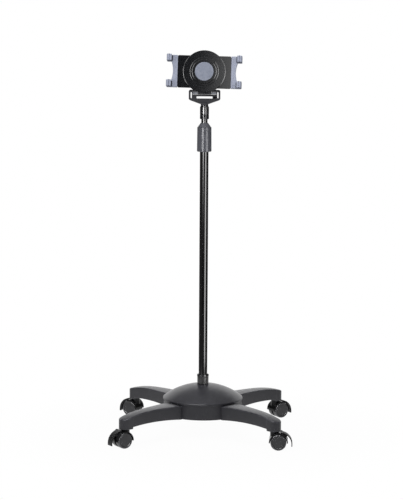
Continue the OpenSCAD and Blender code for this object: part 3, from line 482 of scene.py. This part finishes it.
# The tongue that goes through the drum's wall: a rounded section carried along X.
def tongueParts():
    section = rounded(rectangle(-leg["half"], leg["half"], legTongue["low"],
                                leg["top"] - legTongue["under"]), legTongue["round"])
    points, quads = carried(section, softSteps(legTongue["root"], leg["hub"] + legTongue["past"],
                                               legTongue["edge"], legTongue["edge"]))
    return [(points[:, [2, 0, 1]], quads)]


for corner in corners:
    turn = spin("z", casterSpots["turn"][corner])
    makePiece("leg_shell_" + corner, [moved(part, turn) for part in legParts() + tongueParts()],
              "mouldedAbs", "leg_" + corner)
softened("drum_shell", "hub_drum", "mouldedAbs", edge=1.2)
print("legs and drum")

# Dome: a ball's cap with a narrow slanting band at its rim.
dome = {"rim": 103, "low": 88, "rimTop": 92, "top": 127, "wall": 3, "hole": 11.05, "band": 1.0,
        "bandDrop": 1.5, "rimStart": 0.3, "capEnd": 0.4, "innerStart": 0.2, "sides": 144,
        "outerPoints": 36, "innerPoints": 24, "rounds": [0, 0.2, 0.3, 0.5, 0]}


# Height of a ball's cap at a radius: centre + sqrt(ball^2 - radius^2).
def capHeight(radius, thinner=0):
    rise = dome["top"] - dome["rimTop"]
    ball = (dome["rim"] ** 2 + rise ** 2) / (2 * rise)
    return dome["top"] - ball + np.sqrt((ball - thinner) ** 2 - radius ** 2)


bandIn, wallIn = dome["rim"] - dome["band"], dome["rim"] - dome["wall"]
rimStart = bandIn - dome["rimStart"]
outer = np.linspace(dome["hole"], bandIn - dome["capEnd"], dome["outerPoints"])
inner = np.linspace(wallIn - dome["innerStart"], dome["hole"], dome["innerPoints"])
domeRim = rounded([(rimStart, capHeight(rimStart)), (bandIn, capHeight(bandIn)),
                   (dome["rim"], capHeight(bandIn) - dome["bandDrop"]), (dome["rim"], dome["low"]),
                   (wallIn, dome["low"])], dome["rounds"])
domeProfile = np.concatenate([np.stack([outer, capHeight(outer)], -1), domeRim,
                              np.stack([inner, capHeight(inner, dome["wall"])], -1)])
turnedPiece("dome_shell", domeProfile, dome["sides"], "mouldedAbs", "dome_cover")

# Pole pieces: each a closed profile turned about Z, with its corners rounded.
pole = {"outer": 11, "bore": 9.8, "foot": 60, "top": 772, "inner": 8, "innerBore": 6.8,
        "innerFoot": 237, "innerTop": 832.5, "edge": 0.4, "edgeSteps": 3, "sides": 64}
ferrule = {"r": 15, "low": 126.7, "high": 151.7, "waist": 0.4, "stepLow": 6, "stepHigh": 5.4,
           "gap": 0.05, "slope": 0.6, "rounds": [0.3, 0.3, 0.3, 1.4, 0, 0], "roundSteps": 4}


# A tube's profile: two radii, two heights, broken edges.
def tube(radius, bore, low, high):
    return rounded([(radius, low), (radius, high), (bore, high), (bore, low)], pole["edge"],
                   pole["edgeSteps"])


outerTube = tube(pole["outer"], pole["bore"], pole["foot"], pole["top"])
turnedPiece("outer_pipe", outerTube, pole["sides"], "pipeEnamel", "outer_tube")
innerTube = tube(pole["inner"], pole["innerBore"], pole["innerFoot"], pole["innerTop"])
turnedPiece("inner_pipe", innerTube, pole["sides"], "pipeEnamel", "inner_tube")
ferruleWaist, ferruleBore = ferrule["r"] - ferrule["waist"], pole["outer"] + ferrule["gap"]
ferruleProfile = rounded([
    (ferruleWaist, ferrule["low"]), (ferruleWaist, ferrule["high"] - ferrule["stepLow"]),
    (ferrule["r"], ferrule["high"] - ferrule["stepHigh"]), (ferrule["r"], ferrule["high"]),
    (ferruleBore, ferrule["high"] - ferrule["slope"]), (ferruleBore, ferrule["low"])],
    ferrule["rounds"], ferrule["roundSteps"])
turnedPiece("ferrule_ring", ferruleProfile, pole["sides"], "couplerEnamel", "pole_ferrule")

# Clutch: a slightly tapered barrel, a thin groove, a cone and the bore behind them.
clutch = {"low": 729, "lip": 732.4, "shoulder": 791, "roof": 784, "top": 801.6, "lowR": 18.5,
          "topR": 18.0, "groove": 2.6, "grooveH": 1.3, "lean": 0.1, "cone": 16.2, "mouth": 8.4,
          "mouthWall": 0.9, "mouthRun": 2, "bore": 13.55, "clear": 11.4, "sides": 72,
          "rounds": [0.3, 1.6, 0.5, 0, 0, 0.3, 0.4, 0.3, 0, 0, 0, 0.3]}
grooveR, grooveTop = clutch["topR"] - clutch["groove"], clutch["shoulder"] + clutch["grooveH"]
clutchProfile = rounded([
    (clutch["clear"], clutch["low"]), (clutch["lowR"], clutch["low"]),
    (clutch["topR"], clutch["shoulder"]), (grooveR, clutch["shoulder"] + clutch["lean"]),
    (grooveR, grooveTop), (clutch["cone"], grooveTop + clutch["lean"]),
    (clutch["mouth"] + clutch["mouthWall"], clutch["top"]), (clutch["mouth"], clutch["top"]),
    (clutch["mouth"], clutch["top"] - clutch["mouthRun"]), (clutch["bore"], clutch["roof"]),
    (clutch["bore"], clutch["lip"]), (clutch["clear"], clutch["lip"])], clutch["rounds"])
turnedPiece("clutch_shell", clutchProfile, clutch["sides"], "softTouchAbs", "clutch_collar")

# Lock ring and coupler on the inner tube.
joint = {"ringLow": 811.6, "ringHigh": 823.3, "seam": 0.1, "bodyHigh": 842.3, "neckLow": 843.98,
         "top": 846.5, "outer": 11.4, "neck": 9.7, "bore": 8.02, "studBore": 3.56, "flange": 832.5,
         "ringRounds": [0.2, 1.2, 1.2, 0.2], "rounds": [0.2, 1, 1, 0.6, 0.5, 0.2, 0, 0]}
ringProfile = rounded(rectangle(joint["bore"], joint["outer"], joint["ringLow"],
                                joint["ringHigh"] - joint["seam"]), joint["ringRounds"])
turnedPiece("lock_ring_turned", ringProfile, pole["sides"], "filledNylon", "lock_ring")
couplerProfile = rounded([
    (joint["bore"], joint["ringHigh"]), (joint["outer"], joint["ringHigh"]),
    (joint["outer"], joint["bodyHigh"]), (joint["neck"], joint["neckLow"]),
    (joint["neck"], joint["top"]), (joint["studBore"], joint["top"]),
    (joint["studBore"], joint["flange"]), (joint["bore"], joint["flange"])], joint["rounds"])
turnedPiece("coupler_turned", couplerProfile, pole["sides"], "couplerEnamel", "coupler")
print("dome, pole and clutch")

# Head mount: the yoke and the pieces on its hinge.
softened("yoke_plate", "yoke", "powderCoat", edge=0.6, segments=4)
softened("bracket_arm", "tilt_bracket", "powderCoat", edge=0.9)
# The sleeves' finish is the jaws' grey painted lighter: painted light in the disc's shade.
softened("sleeve_pair", "hinge_sleeves", "sleeveNylon", edge=0.3, segments=2)
softened("tension_head", "tension_screw", "filledNylon", edge=0.3, segments=2)

# Holder: body and cover keep their CAD forms with broken edges; the disc and pad are turned.
softened("body_case", "holder_body", "filledNylon", edge=0.9, segments=4)
softened("cover_plate", "back_cover", "filledNylon", edge=0.5)
front = spin("x", 90)      # Z, the way a section is carried or a profile rises, becomes -Y
disc = {"back": 34, "face": 39, "rim": 53.8, "bevel": 1.3, "bevelDrop": 0.75, "ringOne": 36.4,
        "ringTwo": 31, "step": 1.2, "chamfer": 1.0, "chamferDrop": 0.58, "seat": 23.75,
        "seatLow": 39.4, "sides": 120,
        "rounds": [0, 0.5, 0.3, 0.3, 0.2, 0.15, 0.15, 0.2, 0.15, 0.15, 0.3, 0, 0]}
pad = {"r": 23.6, "face": 41.8, "gap": 0.02, "sides": 96, "rounds": [0, 0.2, 0.7, 0]}
ledgeOne, ledgeTwo = disc["face"] + disc["step"], disc["face"] + 2 * disc["step"]
discProfile = rounded([
    (0, disc["back"]), (disc["rim"], disc["back"]), (disc["rim"], disc["face"] - disc["bevelDrop"]),
    (disc["rim"] - disc["bevel"], disc["face"]), (disc["ringOne"], disc["face"]),
    (disc["ringOne"], ledgeOne - disc["chamferDrop"]),
    (disc["ringOne"] - disc["chamfer"], ledgeOne),
    (disc["ringTwo"], ledgeOne), (disc["ringTwo"], ledgeTwo - disc["chamferDrop"]),
    (disc["ringTwo"] - disc["chamfer"], ledgeTwo), (disc["seat"], ledgeTwo),
    (disc["seat"], disc["seatLow"]), (0, disc["seatLow"])], disc["rounds"])
padProfile = rounded(rectangle(0, pad["r"], disc["seatLow"] + pad["gap"], pad["face"]),
                     pad["rounds"])
makePiece("disc_plate", [atDisc(moved(turned(discProfile, disc["sides"]), front))], "filledNylon",
          "holder_disc")
makePiece("pad_face", [atDisc(moved(turned(padProfile, pad["sides"]), front))], "padElastomer",
          "centre_pad")

# Jaws, in the disc's frame: a plate with a hollowed edge, two hooked fingers with a grooved lip,
# and a tongue. Each finger has a ribbed grip, and a dark sole on the plate whose strip past the lip
# is a painted shadow line.
jaw = {"root": 67.6, "back": 22.3, "face": 35, "reach": 58, "top": 40.6, "fingerLow": 24.2,
       "x": 95, "wall": 3.5, "lip": 3, "lipIn": 82.4, "grooveIn": 87.2, "grooveOut": 88.9,
       "groove": 1.8, "waist": 79.4, "flare": 4.4, "hollowPoints": 25, "sunk": 2, "edge": 1.0,
       "backEdge": 0.6, "plateRounds": [1.3, 2.5, 1.5, 2.5],
       "fingerRounds": [1.2, 0.25, 0.2, 0.2, 0.25, 5, 0, 0, 1.5, 1.0]}
jawTongue = {"tip": -4.3, "low": -28.7, "high": -12.3, "face": 29.7, "lap": 1, "round": 1,
             "edge": 0.6}
grip = {"thick": 1.6, "inset": 1, "rib": 0.35, "pitch": 2.1, "points": 61, "edge": 0.2,
        "edgeSteps": 2}
# show: how far the sole's dark strip, a painted shadow line, reaches past the lip.
shadowSole = {"show": 2.2, "thick": 1.0, "gap": 0.1, "sunk": 0.1, "round": 0.8, "lowEdge": 0.1,
        "edge": 0.4}
fingerHeight = jaw["top"] - jaw["fingerLow"]
fingerIn, lipBack = jaw["x"] - jaw["wall"], jaw["reach"] - jaw["lip"]
gripIn = fingerIn - grip["thick"]


# The plate's outline from the front. The hollow is a circle's arc through the waist and both
# fingers' roots.
def jawPlate():
    bend = (jaw["fingerLow"] ** 2 + jaw["flare"] ** 2) / (2 * jaw["flare"])
    z = np.linspace(-jaw["fingerLow"], jaw["fingerLow"], jaw["hollowPoints"])
    hollow = np.stack([jaw["waist"] + bend - np.sqrt(bend ** 2 - z ** 2), z], -1)
    low = [(jaw["root"], -jaw["top"]), (jaw["x"], -jaw["top"]), (jaw["x"], -jaw["fingerLow"])]
    path = np.concatenate([low, hollow, np.array(low)[::-1] * [1, -1]])
    rounds = jaw["plateRounds"]
    radii = np.concatenate([rounds, np.zeros(len(hollow) - 2), rounds[::-1]])
    steps = softSteps(jaw["back"], jaw["face"], jaw["backEdge"], jaw["edge"])
    return moved(carried(rounded(path, radii), steps), front)


# A hooked finger: its wall and lip in one section, seen from above, carried up from that height.
def jawFinger(low):
    root, grooveFloor = jaw["face"] - jaw["sunk"], jaw["reach"] - jaw["groove"]
    path = np.array([(jaw["lipIn"], jaw["reach"]), (jaw["grooveIn"], jaw["reach"]),
                     (jaw["grooveIn"], grooveFloor), (jaw["grooveOut"], grooveFloor),
                     (jaw["grooveOut"], jaw["reach"]), (jaw["x"], jaw["reach"]), (jaw["x"], root),
                     (fingerIn, root), (fingerIn, lipBack), (jaw["lipIn"], lipBack)])
    section = rounded(path * [1, -1], jaw["fingerRounds"])
    return carried(section, softSteps(low, low + fingerHeight, jaw["edge"], jaw["edge"]))


# A rubber grip: the inner face is ribbed, its depth a cosine of the height.
def gripPad(low):
    z = np.linspace(low + grip["inset"], low + fingerHeight - grip["inset"], grip["points"])
    wave = (1 + np.cos(2 * np.pi * (z - z[0]) / grip["pitch"])) / 2
    ribs = np.stack([gripIn + grip["rib"] * wave, z], -1)
    outline = np.concatenate([[(fingerIn, z[0]), (fingerIn, z[-1])], ribs[::-1]])
    steps = softSteps(jaw["face"], lipBack, grip["edge"], grip["edge"], grip["edgeSteps"])
    return moved(carried(outline, steps), front)


# The grip's sole on the plate: a thin rounded dark sheet whose strip past the lip is a painted
# shadow line.
def gripShadowSole(low):
    outline = rounded(rectangle(jaw["lipIn"] - shadowSole["show"], gripIn - shadowSole["gap"],
                                low + grip["inset"], low + fingerHeight - grip["inset"]),
                      shadowSole["round"])
    steps = softSteps(jaw["face"] - shadowSole["sunk"], jaw["face"] + shadowSole["thick"], shadowSole["lowEdge"],
                      shadowSole["edge"], grip["edgeSteps"])
    return moved(carried(outline, steps), front)


tongueOutline = rounded(rectangle(jawTongue["tip"], jaw["root"] + jawTongue["lap"],
                                  jawTongue["low"], jawTongue["high"]), jawTongue["round"])
tongueSteps = softSteps(jaw["back"], jawTongue["face"], jawTongue["edge"], jawTongue["edge"])
lows = (-jaw["top"], jaw["fingerLow"])
bars = [jawPlate(), moved(carried(tongueOutline, tongueSteps), front)]
bars += [jawFinger(low) for low in lows]
pads = [make(low) for low in lows for make in (gripPad, gripShadowSole)]
for side, degrees in (("right", 0), ("left", 180)):
    turn = spin("y", degrees)
    makePiece("jaw_bar_" + side, [atDisc(moved(part, turn)) for part in bars], "jawAbs",
              "jaw_" + side)
    makePiece("grip_pads_" + side, [atDisc(moved(part, turn)) for part in pads], "gripRubber",
              "grips_" + side)
print("head and holder")

# Casters: turned wheels in pairs, CAD hoods and pedals with broken edges.
wheel = {"r": 20, "inner": 4, "outer": 18.7, "dishR": 15.2, "dishRun": 1, "dishLow": 17.7,
         "cap": 18.2, "sides": 72, "rounds": [0, 1.2, 2.4, 0.4, 0.4, 0], "roundSteps": 6}
wheelProfile = rounded([
    (0, wheel["inner"]), (wheel["r"], wheel["inner"]), (wheel["r"], wheel["outer"]),
    (wheel["dishR"], wheel["outer"]), (wheel["dishR"] - wheel["dishRun"], wheel["dishLow"]),
    (0, wheel["cap"])], wheel["rounds"], wheel["roundSteps"])
axleSpot = (casterSpots["trail"], 0, casterSpots["axle"])
wheelPair = [moved(turned(wheelProfile, wheel["sides"]), spin("x", lean), axleSpot)
             for lean in (90, -90)]
for corner in corners:
    makePiece("wheel_pair_" + corner, [atCaster(part, corner) for part in wheelPair], "wheelNylon",
              "wheels_" + corner)
    softened("hood_shell_" + corner, "hood_" + corner, "casterNylon", edge=0.9)
    softened("pedal_lever_" + corner, "pedal_" + corner, "pedalNylon", edge=0.7)
print("casters")

# CAD solids that stay as they are, hidden inside or seen from behind and below.
plain = {"zincSteel": ["leg_bolts", "pole_bolt", "pole_plug", "pan_stud", "hinge_pin", "rotor_bolt",
                       "rotor_nut", "cover_screws", "spring_left", "spring_right"]
         + [part + corner for corner in corners for part in ("stem_", "axle_")],
         "naturalNylon": ["stem_sockets", "clutch_sleeve", "clutch_collet", "glide_plug",
                          "friction_washer"]}
for finish, nodes in plain.items():
    for node in nodes:
        frame["nodes"][node].data.materials.clear()
        frame["nodes"][node].data.materials.append(materials[finish])
print("plain solids:", sum(len(nodes) for nodes in plain.values()))


# Stage: a pale floor that the camera sees as white with a faint shadow, white behind the stand, and
# a dim room with a lighter ceiling in the reflections. Lengths here are in metres.
stage = {"floor": 1.24, "floorColour": "#e6e6e4", "whiteNear": 0.97, "fadeFrom": 0.3,
         "fadeTo": 0.58, "ambient": 0.3, "room": 0.12, "ceiling": 0.7, "upFrom": 0.6, "upTo": 0.95}
white = linear("#ffffff")


# A flat rectangle about the origin that faces +Z.
def flatBoard(name, size, paint):
    wide, tall = size[0] / 2, size[1] / 2
    mesh = bpy.data.meshes.new(name)
    points = [(u, v, 0) for u, v in rectangle(-wide, wide, -tall, tall)]
    mesh.from_pydata(points, [], [(0, 1, 2, 3)])
    mesh.materials.append(paint)
    return bpy.data.objects.new(name, mesh)


scene.world = bpy.data.worlds.new("studio")
scene.world.use_nodes = True
sky = scene.world.node_tree
sky.nodes.clear()
ray = addNode(sky, "ShaderNodeLightPath").outputs
way = addNode(sky, "ShaderNodeTexCoord").outputs["Generated"]
up = addNode(sky, "ShaderNodeSeparateXYZ", links={0: way}).outputs["Z"]
mirrored = addNode(sky, "ShaderNodeMapRange",
                   {"From Min": stage["upFrom"], "From Max": stage["upTo"],
                    "To Min": stage["room"], "To Max": stage["ceiling"]}, {"Value": up}).outputs[0]
around = addNode(sky, "ShaderNodeMix", {"data_type": "FLOAT", 2: stage["ambient"]},
                 {0: ray["Is Glossy Ray"], 3: mirrored}).outputs[0]
direct = addNode(sky, "ShaderNodeMath", {"operation": "MAXIMUM"},
                 {0: ray["Is Camera Ray"], 1: ray["Is Transmission Ray"]}).outputs[0]
level = addNode(sky, "ShaderNodeMix", {"data_type": "FLOAT", 3: 1.0},
                {0: direct, 2: around}).outputs[0]
air = addNode(sky, "ShaderNodeBackground", {"Color": white}, {"Strength": level})
addNode(sky, "ShaderNodeOutputWorld", links={"Surface": air.outputs[0]})

floorPaint = emptyMaterial("paleFloor")
ground = floorPaint.node_tree
matt = addNode(ground, "ShaderNodeBsdfDiffuse", {"Color": linear(stage["floorColour"])})
paper = addNode(ground, "ShaderNodeEmission", {"Color": white, "Strength": 1.0})
spot = addNode(ground, "ShaderNodeTexCoord").outputs["Object"]
away = addNode(ground, "ShaderNodeVectorMath", {"operation": "LENGTH"}, {0: spot}).outputs["Value"]
share = addNode(ground, "ShaderNodeMapRange",
                {"From Min": stage["fadeFrom"], "From Max": stage["fadeTo"],
                 "To Min": stage["whiteNear"], "To Max": 1.0}, {"Value": away}).outputs[0]
seen = addNode(ground, "ShaderNodeLightPath").outputs
shown = seen["Is Camera Ray"]
for kind in ("Is Transmission Ray", "Is Glossy Ray"):
    shown = addNode(ground, "ShaderNodeMath", {"operation": "MAXIMUM"},
                    {0: shown, 1: seen[kind]}).outputs[0]
amount = addNode(ground, "ShaderNodeMath", {"operation": "MULTIPLY"},
                 {0: share, 1: shown}).outputs[0]
surface = addNode(ground, "ShaderNodeMixShader",
                  links={0: amount, 1: matt.outputs[0], 2: paper.outputs[0]})
addNode(ground, "ShaderNodeOutputMaterial", links={"Surface": surface.outputs[0]})
floor = flatBoard("floor", (stage["floor"], stage["floor"]), floorPaint)
scene.collection.objects.link(floor)

# Soft boxes: place, aim, width and height, and radiance in W per square metre and steradian, where
# power = radiance * pi * area. They light the surfaces and leave the reflections to the cards.
lamps = {"overhead": {"at": (-0.2, -0.5, 2.7), "aim": (0, 0, 0.3), "size": (2.2, 2.2),
                      "radiance": 2.2},
         "leftBox": {"at": (-1.7, -2.3, 1.5), "aim": (0, 0, 0.6), "size": (1.2, 1.6),
                     "radiance": 2.7},
         "rightBox": {"at": (1.7, -2.3, 1.5), "aim": (0, 0, 0.6), "size": (1.2, 1.6),
                      "radiance": 1.7}}


# An object at its place, its -Z axis along the way to its aim.
def standAt(thing, place):
    ahead = Vector(place["aim"]) - Vector(place["at"])
    thing.location = place["at"]
    thing.rotation_euler = ahead.to_track_quat("-Z", "Y").to_euler()
    thing.visible_camera = False
    scene.collection.objects.link(thing)


for name, lamp in lamps.items():
    light = bpy.data.lights.new(name, "AREA")
    light.shape = "RECTANGLE"
    light.size, light.size_y = lamp["size"]
    light.energy = lamp["radiance"] * math.pi * light.size * light.size_y
    box = bpy.data.objects.new(name, light)
    standAt(box, lamp)
    box.visible_glossy = False

# Cards: bright boards that only show as reflections, each in its own pieces. From the lower end to
# the end of the fade, the radiance grows with the share of that way to the power of the foot.
holderParts = ("disc_", "pad_", "body_", "jaw_bar_", "grip_pads_")
poleParts = ("outer_pipe", "inner_pipe", "ferrule_", "clutch_", "lock_ring_", "coupler_")
baseParts = ("dome_", "leg_", "drum_", "hood_", "wheel_", "pedal_")
cards = {"rightStrip": {"at": (0.435, -0.43, 0.53), "aim": (0, 0, 0.53), "size": (0.32, 1.0),
                        "radiance": 5.6, "fade": 0.05, "only": poleParts},
         "leftStrip": {"at": (-0.6, -1.49, 0.445), "aim": (0, 0, 0.445), "size": (0.7, 0.89),
                       "radiance": 16, "fade": 0.67, "foot": 6, "only": poleParts},
         "backBoard": {"at": (0, 2.2, 0.7), "aim": (0, 0, 0.7), "size": (5.0, 2.4),
                       "radiance": 1.35, "fade": 0.05, "only": baseParts},
         "topBoard": {"at": (-0.9, -0.9, 2.0), "aim": (0, 0, 0.2), "size": (1.4, 1.4),
                      "radiance": 1.5, "fade": 0.3},
         "frontBoard": {"at": (-0.1, -1.1, 1.9), "aim": (0, 0, 0.1), "size": (1.8, 0.5),
                        "radiance": 14, "fade": 0.1, "only": baseParts},
         "casterBoard": {"at": (-0.3, -1.6, 1.45), "aim": (0, 0, 0.03), "size": (1.4, 0.5),
                         "radiance": 26, "fade": 0.05, "only": ("hood_", "wheel_")},
         "headBoard": {"at": (0.22, -0.65, 1.06), "aim": (0.22, 0, 0.93), "size": (0.4, 0.35),
                       "radiance": 2.4, "fade": 0.05, "only": holderParts},
         "leftPanel": {"at": (-0.243, -0.15, 0.98), "aim": (0, -0.03, 0.98), "size": (0.07, 0.4),
                       "radiance": 11, "fade": 0.1, "only": ("disc_",)},
         "rightPanel": {"at": (0.211, -0.15, 0.98), "aim": (0, -0.03, 0.98), "size": (0.07, 0.4),
                        "radiance": 11, "fade": 0.1, "only": ("disc_",)}}
for name, card in cards.items():
    glow = emptyMaterial(name)
    glow.cycles.emission_sampling = "NONE"
    shine = glow.node_tree
    lowEnd = -card["size"][1] / 2
    spot = addNode(shine, "ShaderNodeTexCoord").outputs["Object"]
    height = addNode(shine, "ShaderNodeSeparateXYZ", links={0: spot}).outputs["Y"]
    rise = addNode(shine, "ShaderNodeMapRange",
                   {"From Min": lowEnd, "From Max": card["fade"] + lowEnd},
                   {"Value": height}).outputs[0]
    foot = addNode(shine, "ShaderNodeMath", {"operation": "POWER", 1: card.get("foot", 1)},
                   {0: rise}).outputs[0]
    bright = addNode(shine, "ShaderNodeMath", {"operation": "MULTIPLY", 1: card["radiance"]},
                     {0: foot}).outputs[0]
    source = addNode(shine, "ShaderNodeEmission", links={"Strength": bright})
    addNode(shine, "ShaderNodeOutputMaterial", links={"Surface": source.outputs[0]})
    board = flatBoard(name, card["size"], glow)
    standAt(board, card)
    board.visible_diffuse = board.visible_shadow = board.visible_transmission = False
    if "only" in card:
        receivers = bpy.data.collections.new(name)
        for piece in scene.objects:
            if piece.name.startswith(card["only"]):
                receivers.objects.link(piece)
        board.light_linking.receiver_collection = receivers

# Camera: read from the photograph's own lines, long lens, a little above the middle of the stand,
# slightly rolled. The turn is in radians, the other angles in degrees.
view = {"at": (0.2039, -5.4609, 1.2482), "lens": 155.0, "sensor": 36, "farthest": 200,
        "down": 8.05, "turn": 0.0383317, "roll": 0.33}
lens = bpy.data.cameras.new("camera")
lens.lens, lens.sensor_width, lens.clip_end = view["lens"], view["sensor"], view["farthest"]
camera = bpy.data.objects.new("camera", lens)
camera.location = view["at"]
aim = Euler((math.radians(90 - view["down"]), 0, view["turn"])).to_matrix()
camera.rotation_euler = (aim @ Matrix.Rotation(math.radians(view["roll"]), 3, "Z")).to_euler()
scene.collection.objects.link(camera)
scene.camera = camera
scene.view_settings.view_transform = "Standard"
print("stage, lights and camera")
